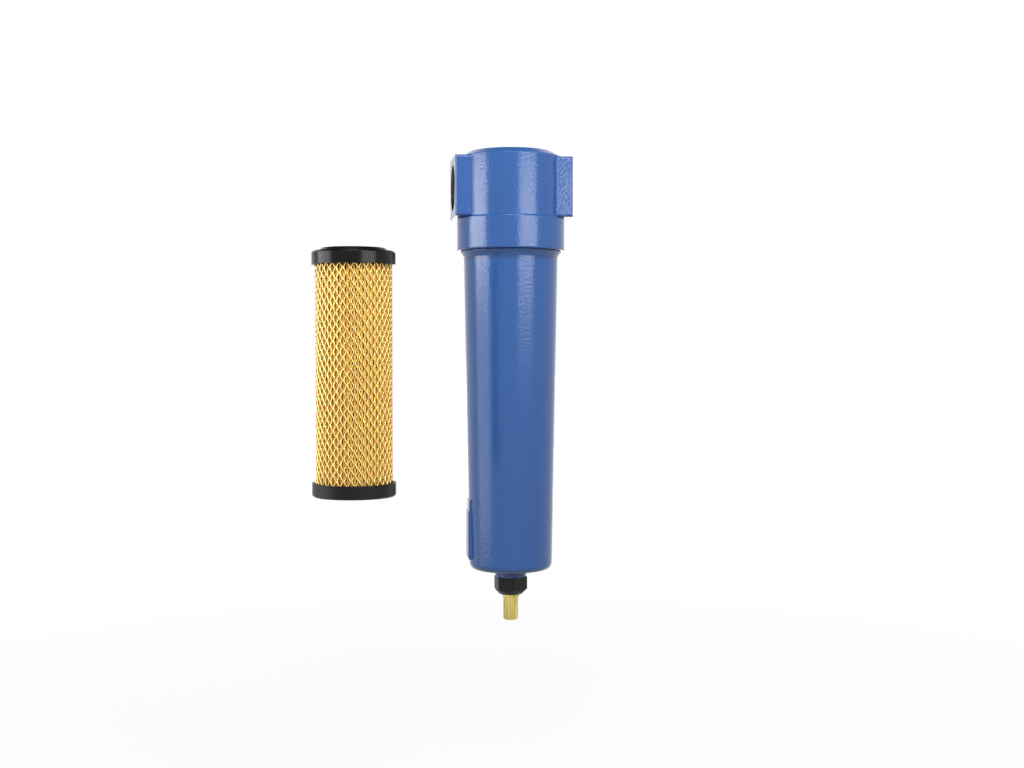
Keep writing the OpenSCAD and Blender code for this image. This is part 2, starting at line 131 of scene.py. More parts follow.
class Shader:
    """Builds the nodes of one material or world."""

    def __init__(self, tree: bpy.types.NodeTree) -> None:
        """Starts from an empty tree."""
        self.tree = tree
        self.tree.nodes.clear()

    def node(
        self,
        kind: str,
        settings: Optional[Mapping[str, object]] = None,
        inputs: Optional[Mapping[Union[str, int], Value]] = None,
        output: Union[str, int] = 0,
    ) -> Optional[Sock]:
        """Adds one node.

        Args:
            kind: the node's type.
            settings: its own settings, which are set first.
            inputs: values or links of its sockets.
            output: the socket that is handed back.
        Returns:
            That socket, or None for an output node.
        """
        made = self.tree.nodes.new(kind)
        for key, value in (settings or {}).items():
            setattr(made, key, value)
        for key, value in (inputs or {}).items():
            self.feed(made.inputs[key], value)
        return Sock(self, made.outputs[output]) if made.outputs else None

    def feed(self, socket: bpy.types.NodeSocket, value: Value) -> None:
        """Links a socket or sets its value.

        Args:
            socket: the socket that takes the value.
            value: another socket, a number, a vector or a colour.
        """
        if isinstance(value, Sock):
            self.tree.links.new(value.socket, socket)
        elif socket.type == "RGBA":
            socket.default_value = (*value, 1.0)
        else:
            socket.default_value = value

    def place(self) -> Sock:
        """Place on the piece, in metres, which rides with it."""
        return self.node("ShaderNodeTexCoord", output="Object")

    def split(self, vector: Sock) -> Tuple[Sock, Sock, Sock]:
        """X, Y and Z of a vector."""
        first = self.node("ShaderNodeSeparateXYZ", inputs={0: vector})
        return tuple(Sock(self, out) for out in first.socket.node.outputs)

    def stretch(self, vector: Sock, by: Point) -> Sock:
        """A vector times a vector."""
        return self.node("ShaderNodeVectorMath", {"operation": "MULTIPLY"}, {0: vector, 1: by})

    def noise(self, vector: Sock, scale: float, detail: float = 2.0, roughness: float = 0.5) -> Sock:
        """Soft noise.

        Args:
            vector: where it is read.
            scale: features for each metre.
            detail: octaves of finer noise.
            roughness: weight of those octaves.
        Returns:
            A value around 0.5.
        """
        inputs = {"Vector": vector, "Scale": scale, "Detail": detail, "Roughness": roughness}
        return self.node("ShaderNodeTexNoise", inputs=inputs)

    def cells(self, vector: Sock, scale: float) -> Sock:
        """Distance to the nearest of scattered points."""
        return self.node("ShaderNodeTexVoronoi", inputs={"Vector": vector, "Scale": scale})

    def mix(self, share: Value, first: Value, second: Value) -> Sock:
        """Colour between two colours."""
        settings = {"data_type": "RGBA"}
        return self.node("ShaderNodeMix", settings, {0: share, 6: first, 7: second}, output=2)

    def round_edges(self, radius: float, samples: int = 6) -> Sock:
        """Normal with the sharp edges eased to a radius."""
        return self.node("ShaderNodeBevel", {"samples": samples}, {"Radius": radius})

    # mask of the edges, used for paint wear and for a painted highlight along the edges
    def edge_wear_and_highlight(self, eased: Sock, leave: Span = (0.02, 0.25)) -> Sock:
        """Finds the edges of a piece.

        Args:
            eased: its normal with the edges eased.
            leave: how far that normal leaves the face's own one where an edge starts and is full.
        Returns:
            A value from 0 on the faces to 1 along the edges.
        """
        own = self.node("ShaderNodeNewGeometry", output="True Normal")
        inputs = {0: eased, 1: own}
        along = self.node("ShaderNodeVectorMath", {"operation": "DOT_PRODUCT"}, inputs, output="Value")
        return (1 - along).rise(*leave)

    def bump(self, height: Sock, depth: float, normal: Optional[Sock] = None) -> Sock:
        """Normal of a rough surface.

        Args:
            height: relief from 0 to 1.
            depth: depth of that relief in metres.
            normal: normal that it starts from.
        Returns:
            The normal.
        """
        inputs: Dict[Union[str, int], Value] = {"Strength": 1.0, "Distance": depth, "Height": height}
        if normal is not None:
            inputs["Normal"] = normal
        return self.node("ShaderNodeBump", inputs=inputs)

    def surface(self, inputs: Mapping[Union[str, int], Value]) -> None:
        """Ends the tree in one principled surface."""
        skin = self.node("ShaderNodeBsdfPrincipled", inputs=inputs)
        self.node("ShaderNodeOutputMaterial", inputs={"Surface": skin})


def between(share: Value, first: Value, second: Value) -> Value:
    """Number between two numbers."""
    return first + (second - first) * share


@dataclass(frozen=True)
class Finish:
    """A finish that pieces are dressed in."""

    name: str

    def nodes(self, shader: Shader) -> None:
        """Fills the material's nodes."""
        raise NotImplementedError

    def material(self) -> bpy.types.Material:
        """Makes the finish's one material, the first time it is asked for.

        Returns:
            The material.
        """
        label = f"{self.name}_finish"
        made = bpy.data.materials.get(label)
        if made is None:
            made = bpy.data.materials.new(label)
            made.use_nodes = True
            self.nodes(Shader(made.node_tree))
        return made

    def dress(self, *pieces: bpy.types.Object) -> None:
        """Puts the finish on pieces.

        Args:
            pieces: the pieces that it is put on.
        """
        for piece in pieces:
            piece.data.materials.clear()
            piece.data.materials.append(self.material())
            LOG.info("%s dressed in %s", piece.name, self.name)


class BareZone(Enum):
    """Where a painted casting is machined bare."""

    PORTS = "port bores"
    NECK = "screwed neck"


@dataclass(frozen=True)
class CastPaint(Finish):
    """Baked blue paint on a die casting, with machined metal where the casting is cut."""

    zone: BareZone
    edge: float
    axis_x: float = 0.0
    bore_r: float = 0.0
    bore_depth: float = 0.0
    light: Point = (0.025, 0.120, 0.407)
    deep: Point = (0.022, 0.110, 0.382)
    drift_scale: float = 24
    # thin paint on the peel tops and along the edges; on the edges it is also a painted highlight
    thin_paint_and_edge_highlight: Point = (0.085, 0.21, 0.53)
    thin_on_peel: float = 0.12
    edge_wear_and_highlight_share: float = 0.45
    peel_scale: float = 420
    peel_share: float = 2.4
    peel_tops: Span = (0.5, 0.8)
    grain_scale: float = 150
    grain_share: float = 0.9
    relief: float = 0.095 * MM
    edge_r: float = 1.1 * MM
    gloss: Span = (0.10, 0.18)
    ior: float = 1.5
    # colour and strength of the painted shade in the corner under the collar
    painted_shade: Point = (0.010, 0.045, 0.16)
    painted_shade_share: Span = (0.5, 0.8)
    corner_z: Optional[float] = None
    corner_h: float = 5 * MM
    corner_end: float = 2 * MM
    dull_z: Optional[float] = None
    dull_h: float = 0.2 * MM
    dull_gloss: Span = (0.45, 0.60)
    metal: Point = (0.44, 0.45, 0.46)
    metal_dim: float = 0.8
    metal_gloss: Span = (0.34, 0.46)
    stain_scale: float = 60
    # painted shade: dark colour of the bare metal inside the port bores, where shade falls
    bore_shade_colour: Point = (0.05, 0.05, 0.055)
    neck_edge: float = 0.1 * MM
    neck_feed: float = 0.45 * MM
    neck_marks: float = 0.05
    port_rim: Span = (0.2 * MM, 0.4 * MM)
    port_end: Span = (0.6 * MM, 0.3 * MM)
    port_feed: float = 0.55 * MM
    port_marks: float = 0.1

    def bare(self, x: Sock, y: Sock, z: Sock) -> Tuple[Sock, Sock, Value]:
        """Where the metal shows, its cutting marks, and where painted shade darkens the bore.

        Args:
            x, y, z: place on the casting.
        Returns:
            The mask of bare metal, the height of the marks and the mask of the bore's painted shade.
        """
        if self.zone is BareZone.NECK:
            lines = (z * (TURN / self.neck_feed)).sine() * self.neck_marks
            return z.rise(self.edge - self.neck_edge, self.edge), lines, 0.0
        radius = (y * y + z * z) ** 0.5
        inside = 1 - radius.rise(*(self.bore_r + step for step in self.port_rim))
        end = self.edge - self.bore_depth
        bore = inside * abs(x - self.axis_x).rise(*(end - step for step in self.port_end))
        rings = (radius * (TURN / self.port_feed)).sine() * self.port_marks
        # the bore's mask is also the mask of its painted shade
        return bore, rings, bore

    def paint(self, shader: Shader, z: Sock, drift: Sock, peel: Sock, eased: Sock) -> Sock:
        """Colour of the paint.

        Args:
            shader: the material's nodes.
            z: height on the casting.
            drift: slow change of tone.
            peel: fine unevenness of the paint.
            eased: normal with the edges eased.
        Returns:
            The colour, lighter on the edges (thin paint and a painted highlight) and darkened by painted
            shade in the corner under the collar.
        """
        colour = shader.mix(drift, self.deep, self.light)
        colour = shader.mix(peel.rise(*self.peel_tops) * self.thin_on_peel, colour, self.thin_paint_and_edge_highlight)
        # edges lightened toward the thin-paint colour: partly paint wear, partly a painted highlight along
        # the edges
        colour = shader.mix(shader.edge_wear_and_highlight(eased) * self.edge_wear_and_highlight_share, colour, self.thin_paint_and_edge_highlight)
        if self.corner_z is None:
            return colour
        # painted shade: darkens the colour in the corner under the collar, where shade falls
        corner_shade = z.rise(self.corner_z - self.corner_h, self.corner_z) * between(drift, *self.painted_shade_share)
        above = z.rise(self.corner_z, self.corner_z + self.corner_end)
        return shader.mix(corner_shade - above, colour, self.painted_shade)

    def nodes(self, shader: Shader) -> None:
        """Fills the material's nodes.

        Args:
            shader: the nodes to fill.
        """
        place = shader.place()
        x, y, z = shader.split(place)
        bare, marks, bore_shade = self.bare(x, y, z)
        drift = shader.noise(place, self.drift_scale, detail=3.0)
        peel = shader.noise(place, self.peel_scale, roughness=0.55)
        grain = shader.noise(place, self.grain_scale)
        stain = shader.noise(place, self.stain_scale, detail=4.0)
        eased = shader.round_edges(self.edge_r)
        paint = self.paint(shader, z, drift, peel, eased)
        metal = shader.mix(stain, tuple(self.metal_dim * c for c in self.metal), self.metal)
        # painted shade: the bore's bare metal is darkened where shade falls inside it
        metal = shader.mix(bore_shade, metal, self.bore_shade_colour)
        relief = between(bare, peel * self.peel_share + grain * self.grain_share, marks)
        gloss = between(grain, *self.gloss)
        if self.dull_z is not None:
            dull = z.rise(self.dull_z - self.dull_h, self.dull_z)
            gloss = between(dull, gloss, between(drift, *self.dull_gloss))
        shader.surface(
            {
                "Base Color": shader.mix(bare, paint, metal),
                "Metallic": bare,
                "Roughness": between(bare, gloss, between(stain, *self.metal_gloss)),
                "IOR": self.ior,
                "Normal": shader.bump(relief, self.relief, eased),
            }
        )


@dataclass(frozen=True)
class TurnedMetal(Finish):
    """Bright metal with fine lathe lines round the upright axis and draw marks along it; the draw marks
    also darken the colour in streaks, a painted reflection.
    """

    colour: Point
    # tarnish colour, which is also the colour of the painted streak reflections
    tarnish_and_streak_reflection: Point
    roughness: float = 0.2
    rougher: float = 0.14
    line_pitch: float = 0.35 * MM
    line_share: float = 0.3
    # how much the vertical draw streaks darken the colour: a painted reflection
    streak_reflection_share: float = 0.3
    draw_scale: float = 520
    draw_stretch: Point = (1.0, 1.0, 0.03)
    draw_share: float = 2.0
    draw_tops: Span = (0.42, 0.66)
    stained: float = 0.4
    stain_scale: float = 95
    stain_tops: Span = (0.4, 0.8)
    relief: float = 0.012 * MM
    edge_r: float = 0.5 * MM

    def nodes(self, shader: Shader) -> None:
        """Fills the material's nodes.

        Args:
            shader: the nodes to fill.
        """
        place = shader.place()
        *_, z = shader.split(place)
        lines = (z * (TURN / self.line_pitch)).sine() * 0.5 + 0.5
        streak = shader.noise(shader.stretch(place, self.draw_stretch), self.draw_scale)
        stain = shader.noise(place, self.stain_scale, detail=4.0, roughness=0.6)
        # real tarnish stains plus vertical streaks that darken the colour as a painted reflection
        dull = stain.rise(*self.stain_tops) * self.stained + streak.rise(*self.draw_tops) * self.streak_reflection_share
        relief = lines * self.line_share + streak * self.draw_share
        shader.surface(
            {
                "Base Color": shader.mix(dull, self.colour, self.tarnish_and_streak_reflection),
                "Metallic": 1.0,
                "Roughness": self.roughness + self.rougher * stain,
                "Normal": shader.bump(relief, self.relief, shader.round_edges(self.edge_r)),
            }
        )


@dataclass(frozen=True)
class RolledSteel(Finish):
    """Zinc-coated sheet with a faint spangle."""

    colour: Point = (0.62, 0.63, 0.64)
    dull: float = 0.72
    spangle_scale: float = 160
    scuff_scale: float = 700
    roughness: Span = (0.3, 0.5)
    relief: float = 0.01 * MM
    edge_r: float = 0.4 * MM

    def nodes(self, shader: Shader) -> None:
        """Fills the material's nodes.

        Args:
            shader: the nodes to fill.
        """
        place = shader.place()
        spangle = shader.cells(place, self.spangle_scale)
        scuff = shader.noise(place, self.scuff_scale, detail=3.0)
        shader.surface(
            {
                "Base Color": shader.mix(spangle, self.colour, tuple(self.dull * c for c in self.colour)),
                "Metallic": 1.0,
                "Roughness": between(scuff, *self.roughness),
                "Normal": shader.bump(scuff, self.relief, shader.round_edges(self.edge_r)),
            }
        )


@dataclass(frozen=True)
class GoldMesh(Finish):
    """Gold-coloured expanded metal with warmer patches and fine shear marks."""

    bright: Point = (0.90, 0.645, 0.245)
    warm: Point = (0.87, 0.53, 0.23)
    patch_scale: float = 120
    patch_tops: Span = (0.35, 0.7)
    shear_scale: float = 1500
    shear_stretch: Point = (1.0, 1.0, 0.4)
    roughness: Span = (0.24, 0.40)
    relief: float = 0.03 * MM

    def nodes(self, shader: Shader) -> None:
        """Fills the material's nodes.

        Args:
            shader: the nodes to fill.
        """
        place = shader.place()
        patch = shader.noise(place, self.patch_scale)
        shear = shader.noise(shader.stretch(place, self.shear_stretch), self.shear_scale)
        shader.surface(
            {
                "Base Color": shader.mix(patch.rise(*self.patch_tops), self.bright, self.warm),
                "Metallic": 1.0,
                "Roughness": between(shear, *self.roughness),
                "Normal": shader.bump(shear, self.relief),
            }
        )


@dataclass(frozen=True)
class FilterPaper(Finish):
    """Resin-cured pleated paper, with fibres and painted shade that darkens the folds."""

    axis: Span
    ridge: Point = (0.97, 0.70, 0.12)
    # painted shade: colour deep in the folds, where shade falls
    fold: Point = (0.60, 0.34, 0.04)
    fold_r: float = 30 * MM
    ridge_r: float = 34.5 * MM
    blot_scale: float = 210
    blot_share: Span = (0.8, 1.0)
    fibre: Point = (0.92, 0.76, 0.38)
    fibre_scale: float = 1600
    fibre_stretch: Point = (1.0, 1.0, 0.3)
    fibre_tops: Span = (0.5, 0.75)
    fibre_share: float = 0.35
    roughness: Span = (0.55, 0.80)
    ior: float = 1.45
    relief: float = 0.06 * MM

    def nodes(self, shader: Shader) -> None:
        """Fills the material's nodes.

        Args:
            shader: the nodes to fill.
        """
        place = shader.place()
        x, y, _ = shader.split(place)
        x, y = x - self.axis[0], y - self.axis[1]
        radius = (x * x + y * y) ** 0.5
        stretched = shader.stretch(place, self.fibre_stretch)
        fibre = shader.noise(stretched, self.fibre_scale, detail=3.0, roughness=0.65)
        blot = shader.noise(place, self.blot_scale, detail=3.0)
        # painted shade: the paper darkens from the fold ridges down into the folds
        depth = radius.rise(self.fold_r, self.ridge_r)
        fold_shaded_tone = shader.mix(depth * between(blot, *self.blot_share), self.fold, self.ridge)
        shader.surface(
            {
                "Base Color": shader.mix(fibre.rise(*self.fibre_tops) * self.fibre_share, fold_shaded_tone, self.fibre),
                "Roughness": between(fibre, *self.roughness),
                "IOR": self.ior,
                "Normal": shader.bump(fibre, self.relief),
            }
        )


@dataclass(frozen=True)
class MouldedPlastic(Finish):
    """Injection-moulded plastic with a fine tool texture."""

    colour: Point
    rubbed: Point
    roughness: float = 0.35
    texture: float = 0.02 * MM
    edge_r: float = 0.6 * MM
    ior: float = 1.5
    cloud_scale: float = 70
    cloud_tops: Span = (0.3, 0.8)
    cloud_share: float = 0.6
    cloud_rough: float = 0.10
    scuff_scale: float = 330
    scuff_stretch: Point = (1.0, 1.0, 0.2)
    scuff_tops: Span = (0.58, 0.8)
    scuff_share: float = 0.25
    scuff_rough: float = 0.08
    tool_scale: float = 1400

    def nodes(self, shader: Shader) -> None:
        """Fills the material's nodes.

        Args:
            shader: the nodes to fill.
        """
        place = shader.place()
        cloud = shader.noise(place, self.cloud_scale, detail=4.0, roughness=0.6)
        tool = shader.noise(place, self.tool_scale)
        scuff = shader.noise(shader.stretch(place, self.scuff_stretch), self.scuff_scale, detail=3.0)
        scuff = scuff.rise(*self.scuff_tops)
        worn = cloud.rise(*self.cloud_tops) * self.cloud_share + scuff * self.scuff_share
        shader.surface(
            {
                "Base Color": shader.mix(worn, self.colour, self.rubbed),
                "Roughness": self.roughness + self.cloud_rough * cloud + self.scuff_rough * scuff,
                "IOR": self.ior,
                "Normal": shader.bump(tool, self.texture, shader.round_edges(self.edge_r)),
            }
        )


@dataclass(frozen=True)
class SealRubber(Finish):
    """Black rubber with a bloom of talc."""

    colour: Point = (0.012, 0.012, 0.013)
    talc: Point = (0.05, 0.05, 0.052)
    bloom_scale: float = 260
    bloom_tops: Span = (0.45, 0.8)
    bloom_share: float = 0.5
    roughness: Span = (0.5, 0.8)
    ior: float = 1.52
    relief: float = 0.02 * MM

    def nodes(self, shader: Shader) -> None:
        """Fills the material's nodes.

        Args:
            shader: the nodes to fill.
        """
        bloom = shader.noise(shader.place(), self.bloom_scale, detail=4.0, roughness=0.7)
        share = bloom.rise(*self.bloom_tops) * self.bloom_share
        shader.surface(
            {
                "Base Color": shader.mix(share, self.colour, self.talc),
                "Roughness": between(bloom, *self.roughness),
                "IOR": self.ior,
                "Normal": shader.bump(bloom, self.relief),
            }
        )


@dataclass(frozen=True)
class BondResin(Finish):
    """Poured bonding compound with small bubbles."""

    colour: Point = (0.46, 0.37, 0.20)
    pale: Point = (0.621, 0.4995, 0.27)
    flow_scale: float = 80
    bubble_scale: float = 620
    bubble_r: float = 0.35
    roughness: Span = (0.3, 0.55)
    ior: float = 1.5
    relief: float = 0.08 * MM

    def nodes(self, shader: Shader) -> None:
        """Fills the material's nodes.

        Args:
            shader: the nodes to fill.
        """
        place = shader.place()
        bubble = 1 - shader.cells(place, self.bubble_scale).rise(0.0, self.bubble_r)
        flow = shader.noise(place, self.flow_scale, detail=3.0)
        shader.surface(
            {
                "Base Color": shader.mix(flow, self.colour, self.pale),
                "Roughness": between(flow, *self.roughness),
                "IOR": self.ior,
                "Normal": shader.bump(bubble, self.relief),
            }
        )


def box_of(node: str) -> Tuple[Vector, Vector, Vector]:
    """Lowest corner, highest corner and middle of a CAD node at rest."""
    low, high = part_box(node)
    return low, high, (low + high) / 2


def new_piece(
    name: str,
    points: Sequence[Point],
    faces: Sequence[Sequence[int]],
    body: str,
    smooth: bool = True,
) -> bpy.types.Object:
    """Makes a mesh piece that rides on a CAD body.

    Args:
        name: the piece's name.
        points: its vertices, in the CAD frame.
        faces: its faces.
        body: the CAD body that carries it.
        smooth: whether its faces are shaded smooth.
    Returns:
        The piece.
    """
    mesh = bpy.data.meshes.new(name)
    mesh.from_pydata(points, [], faces)
    mesh.polygons.foreach_set("use_smooth", [smooth] * len(mesh.polygons))
    mesh.update()
    piece = bpy.data.objects.new(name, mesh)
    bpy.context.scene.collection.objects.link(piece)
    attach(piece, body)
    LOG.info("%s built: %d faces, rides on %s", name, len(faces), body)
    return piece


@dataclass
class PortThread:
    """Pipe thread cut in one port of the head."""

    name: str
    mouth_x: float
    inward: int
    root_r: float
    length: float
    pitch: float = 2.309 * MM
    depth: float = 1.35 * MM
    profile: Tuple[Span, ...] = ((-0.46, -0.12), (-0.09, 1.0), (0.09, 1.0), (0.46, -0.12))
    end_turns: float = 0.8
    fade_turns: float = 0.6
    steps: int = 72

    def build(self) -> bpy.types.Object:
        """Runs the thread's ridge round the bore.

        Returns:
            The thread's ridge.
        """
        sides = len(self.profile)
        total = int((self.length / self.pitch - 2 * self.end_turns) * self.steps)
        fade_steps = self.fade_turns * self.steps
        points: List[Point] = []
        faces: List[List[int]] = []
        for i in range(total + 1):
            angle = self.inward * TURN * i / self.steps
            fade = min(1.0, i / fade_steps, (total - i) / fade_steps)
            for along, up in self.profile:
                radius = self.root_r - self.depth * (up if up < 0 else up * fade)
                x = self.mouth_x + self.inward * self.pitch * (self.end_turns + i / self.steps + along)
                points.append((x, radius * math.cos(angle), radius * math.sin(angle)))
        for i in range(total):
            for k in range(sides):
                a, b = sides * i + k, sides * i + (k + 1) % sides
                faces.append([a, b, b + sides, a + sides])
        faces += [list(reversed(range(sides))), [sides * total + k for k in range(sides)]]
        return new_piece(self.name, points, faces, "head", smooth=False)


@dataclass
class HeadCasting:
    """Cast head with its two threaded ports and the gauge port plugs."""

    port_r: float = 23.9 * MM
    port_depth: float = 20 * MM
    # painted shade: the thread ridges are dark to stand for the shade inside the port bores
    shaded_pipe_metal: Finish = TurnedMetal("bare_thread", (0.16, 0.16, 0.17), (0.06, 0.06, 0.065), 0.3)
    plug_brass: Finish = TurnedMetal("plug_brass", (0.70, 0.54, 0.20), (0.52, 0.38, 0.12), 0.26)

    def build(self) -> List[bpy.types.Object]:
        """Cuts the threads of both ports.

        Returns:
            The ridges of the two threads.
        """
        low, high, _ = box_of("head_casting")
        mouths = (("inlet_thread", low.x, 1), ("outlet_thread", high.x, -1))
        return [PortThread(*mouth, self.port_r, self.port_depth).build() for mouth in mouths]

    def dress(self) -> None:
        """Paints the casting and finishes threads and plugs."""
        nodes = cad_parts
        low, high, middle = box_of("head_casting")
        paint = CastPaint(
            "head_paint",
            BareZone.PORTS,
            edge=(high.x - low.x) / 2,
            axis_x=middle.x,
            bore_r=self.port_r,
            bore_depth=self.port_depth,
            dull_z=high.z,
        )
        paint.dress(nodes["head_casting"], nodes["head_collar"])
        self.shaded_pipe_metal.dress(*self.build())
        self.plug_brass.dress(nodes["gauge_port_plugs"])


@dataclass
class ThreadedNeck:
    """Flange and neck of the bowl with the cut thread, in place of the plain ring."""

    height: float = 26 * MM
    radius: float = 49.7 * MM
    bore_r: float = 44 * MM
    wall: float = 4.2 * MM
    flange_h: float = 3.2 * MM
    rim_r: float = 54.2 * MM
    rim_edge: float = 0.5 * MM
    rim_h: float = 1.6 * MM
    cove_h: float = 6.5 * MM
    cove_bend: float = 1.6
    cove_steps: int = 8
    sink: float = 0.2 * MM
    lead: float = 1 * MM
    groove_up: float = 21 * MM
    groove_half: float = 1.7 * MM
    groove_r: float = 46.8 * MM
    thread_from: float = 2 * MM
    thread_to: float = 17 * MM
    pitch: float = 4 * MM
    depth: float = 1.5 * MM
    flank_slope: float = 1.5
    facets: int = 144
    levels: int = 60
    sharp_from: float = math.radians(28)

    def thread(self, foot: float, turn: float) -> List[Span]:
        """Radius and height up the thread.

        Args:
            foot: height of the flange's top.
            turn: share of a turn round the neck.
        Returns:
            The points of the thread's section there.
        """
        points: List[Span] = []
        for level in range(self.levels + 1):
            up = between(level / self.levels, self.thread_from, self.thread_to)
            fade = min(1.0, (up - self.thread_from) / self.pitch, (self.thread_to - up) / self.pitch)
            tooth = abs((up / self.pitch - turn) % 1.0 - 0.5) * 2
            cut = max(0.0, min(1.0, 0.5 + self.flank_slope * (tooth - 0.5)))
            points.append((self.radius - self.depth * cut * fade, foot + up))
        return points

    def section(self, low: Vector, high: Vector, wall_r: float, turn: float) -> List[Span]:
        """Radius and height round the ring's section.

        Args:
            low, high: corners of the plain ring.
            wall_r: outside radius of the bowl's wall below it.
            turn: share of a turn round the neck.
        Returns:
            The section's points, from the wall's edge up the outside and down the bore.
        """
        foot = high.z - self.height
        groove, lip = foot + self.groove_up, foot - self.rim_h
        skin, brim = wall_r - self.sink, self.rim_r - self.rim_edge
        shares = [step / self.cove_steps for step in range(self.cove_steps)]
        cove = [(between(s**self.cove_bend, skin, brim), lip - self.cove_h * (1 - s)) for s in shares]
        flange = [
            (brim, lip),
            (self.rim_r, lip + self.rim_edge),
            (self.rim_r, foot - self.rim_edge),
            (brim, foot),
            (self.radius, foot),
        ]
        seal = [
            (self.radius, groove - self.groove_half),
            (self.groove_r, groove - self.groove_half),
            (self.groove_r, groove + self.groove_half),
            (self.radius, groove + self.groove_half),
        ]
        mouth = [
            (self.radius, high.z - self.lead),
            (self.radius - self.lead, high.z),
            (self.bore_r, high.z),
            (self.bore_r, foot - self.flange_h),
            (wall_r - self.wall, low.z),
        ]
        return cove + flange + self.thread(foot, turn) + seal + mouth

    def build(self) -> bpy.types.Object:
        """Turns the section round the bowl's axis.

        Returns:
            The neck.
        """
        low, high, middle = box_of("bowl_neck")
        bowl_low, bowl_high, _ = box_of("bowl")
        wall_r = (bowl_high.y - bowl_low.y) / 2
        points: List[Point] = []
        faces: List[List[int]] = []
        for facet in range(self.facets):
            turn = facet / self.facets
            across, along = math.cos(TURN * turn), math.sin(TURN * turn)
            section = self.section(low, high, wall_r, turn)
            count = len(section)
            points += [(middle.x + r * across, middle.y + r * along, z) for r, z in section]
            first, after = facet * count, (facet + 1) % self.facets * count
            for k in range(count):
                step = (k + 1) % count
                faces.append([first + k, after + k, after + step, first + step])
        piece = new_piece("threaded_neck", points, faces, "bowl")
        piece.data.set_sharp_from_angle(angle=self.sharp_from)
        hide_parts("bowl_neck")
        return piece


@dataclass
class ScrewedBowl:
    """Cast bowl that screws into the head, with its seal."""

    neck: ThreadedNeck = field(default_factory=ThreadedNeck)
    peel_share: float = 2.1
    grain_share: float = 0.8
    # the painted shade under the collar ends this far below the top of the bowl's wall
    shade_drop: float = 2 * MM
    seal: Finish = SealRubber("seal_rubber")

    def dress(self) -> None:
        """Paints the bowl below its neck and finishes the seal."""
        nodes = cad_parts
        paint = CastPaint(
            "bowl_paint",
            BareZone.NECK,
            edge=box_of("bowl_neck")[1].z - self.neck.height,
            peel_share=self.peel_share,
            grain_share=self.grain_share,
            # height of the painted shade in the corner under the collar
            corner_z=box_of("bowl")[1].z - self.shade_drop,
        )
        paint.dress(self.neck.build(), nodes["bowl"])
        self.seal.dress(nodes["bowl_o_ring"])


@dataclass
class FloatDrain:
    """Float drain in the bowl's floor, with its nut and brass outlet below."""

    brass: Finish = TurnedMetal("brass", (0.70, 0.58, 0.19), (0.32, 0.25, 0.055), 0.07, streak_reflection_share=0.7)
    nut_black: Finish = MouldedPlastic(
        "black_nut", (0.004, 0.004, 0.004), (0.010, 0.010, 0.010), 0.36, ior=1.33
    )
    ivory: Finish = MouldedPlastic("ivory_plastic", (0.72, 0.69, 0.60), (0.60, 0.57, 0.47), 0.38)
    seal: Finish = SealRubber("seal_rubber")

    def dress(self) -> None:
        """Finishes every piece of the drain."""
        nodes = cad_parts
        self.brass.dress(nodes["drain_outlet"], nodes["valve_seat"])
        self.nut_black.dress(nodes["drain_nut"])
        self.ivory.dress(nodes["drain_body"], nodes["float_cage"], nodes["cage_lid"], nodes["drain_float"])
        self.seal.dress(nodes["drain_gasket"], nodes["outlet_o_ring"], nodes["valve_needle"])


@dataclass
class ExpandedSleeve:
    """Expanded-metal sleeve: strands that zigzag up the sheet and meet at the bonds."""

    strands: int = 64
    rows: int = 21
    steps: int = 8
    strand_w: float = 1.25 * MM
    sheet_t: float = 0.85 * MM
    lean: float = 0.25 * MM
    inset: float = 0.95 * MM
    bond_share: float = 0.46
    bond_flat: float = 1.12

    def build(self) -> bpy.types.Object:
        """Runs the sheet's strands up the element.

        Returns:
            The sleeve.
        """
        low, high, middle = box_of("outer_sleeve")
        radius = (high.x - low.x) / 2 - self.inset
        sway = math.pi * radius / self.strands - self.bond_share * self.strand_w
        half_w, half_t = self.strand_w / 2, self.sheet_t / 2
        section = [(half_w, 0.0), (half_w / 2, half_t), (-half_w / 2, half_t)]
        section += [(-across, -out) for across, out in section]
        levels, sides = self.rows * self.steps + 1, len(section)
        points: List[Point] = []
        faces: List[List[int]] = []
        for strand in range(self.strands):
            first = len(points)
            for level in range(levels):
                phase = level / self.steps + strand / 2
                swing = max(-1.0, min(1.0, self.bond_flat * (4 * abs(phase % 1.0 - 0.5) - 1)))
                leaning = self.lean * math.sin(TURN * phase)
                z = low.z + (high.z - low.z) * level / (levels - 1)
                for across, out in section:
                    angle = (strand + 0.5) * TURN / self.strands + (sway * swing + across) / radius
                    r = radius + leaning + out
                    points.append((middle.x + r * math.cos(angle), middle.y + r * math.sin(angle), z))
            for level in range(levels - 1):
                for k in range(sides):
                    a, b = first + level * sides + k, first + level * sides + (k + 1) % sides
                    faces.append([a, a + sides, b + sides, b])
            last = first + (levels - 1) * sides
            faces += [[first + k for k in range(sides)], [last + k for k in reversed(range(sides))]]
        piece = new_piece("expanded_sleeve", points, faces, "element")
        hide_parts("outer_sleeve")
        return piece


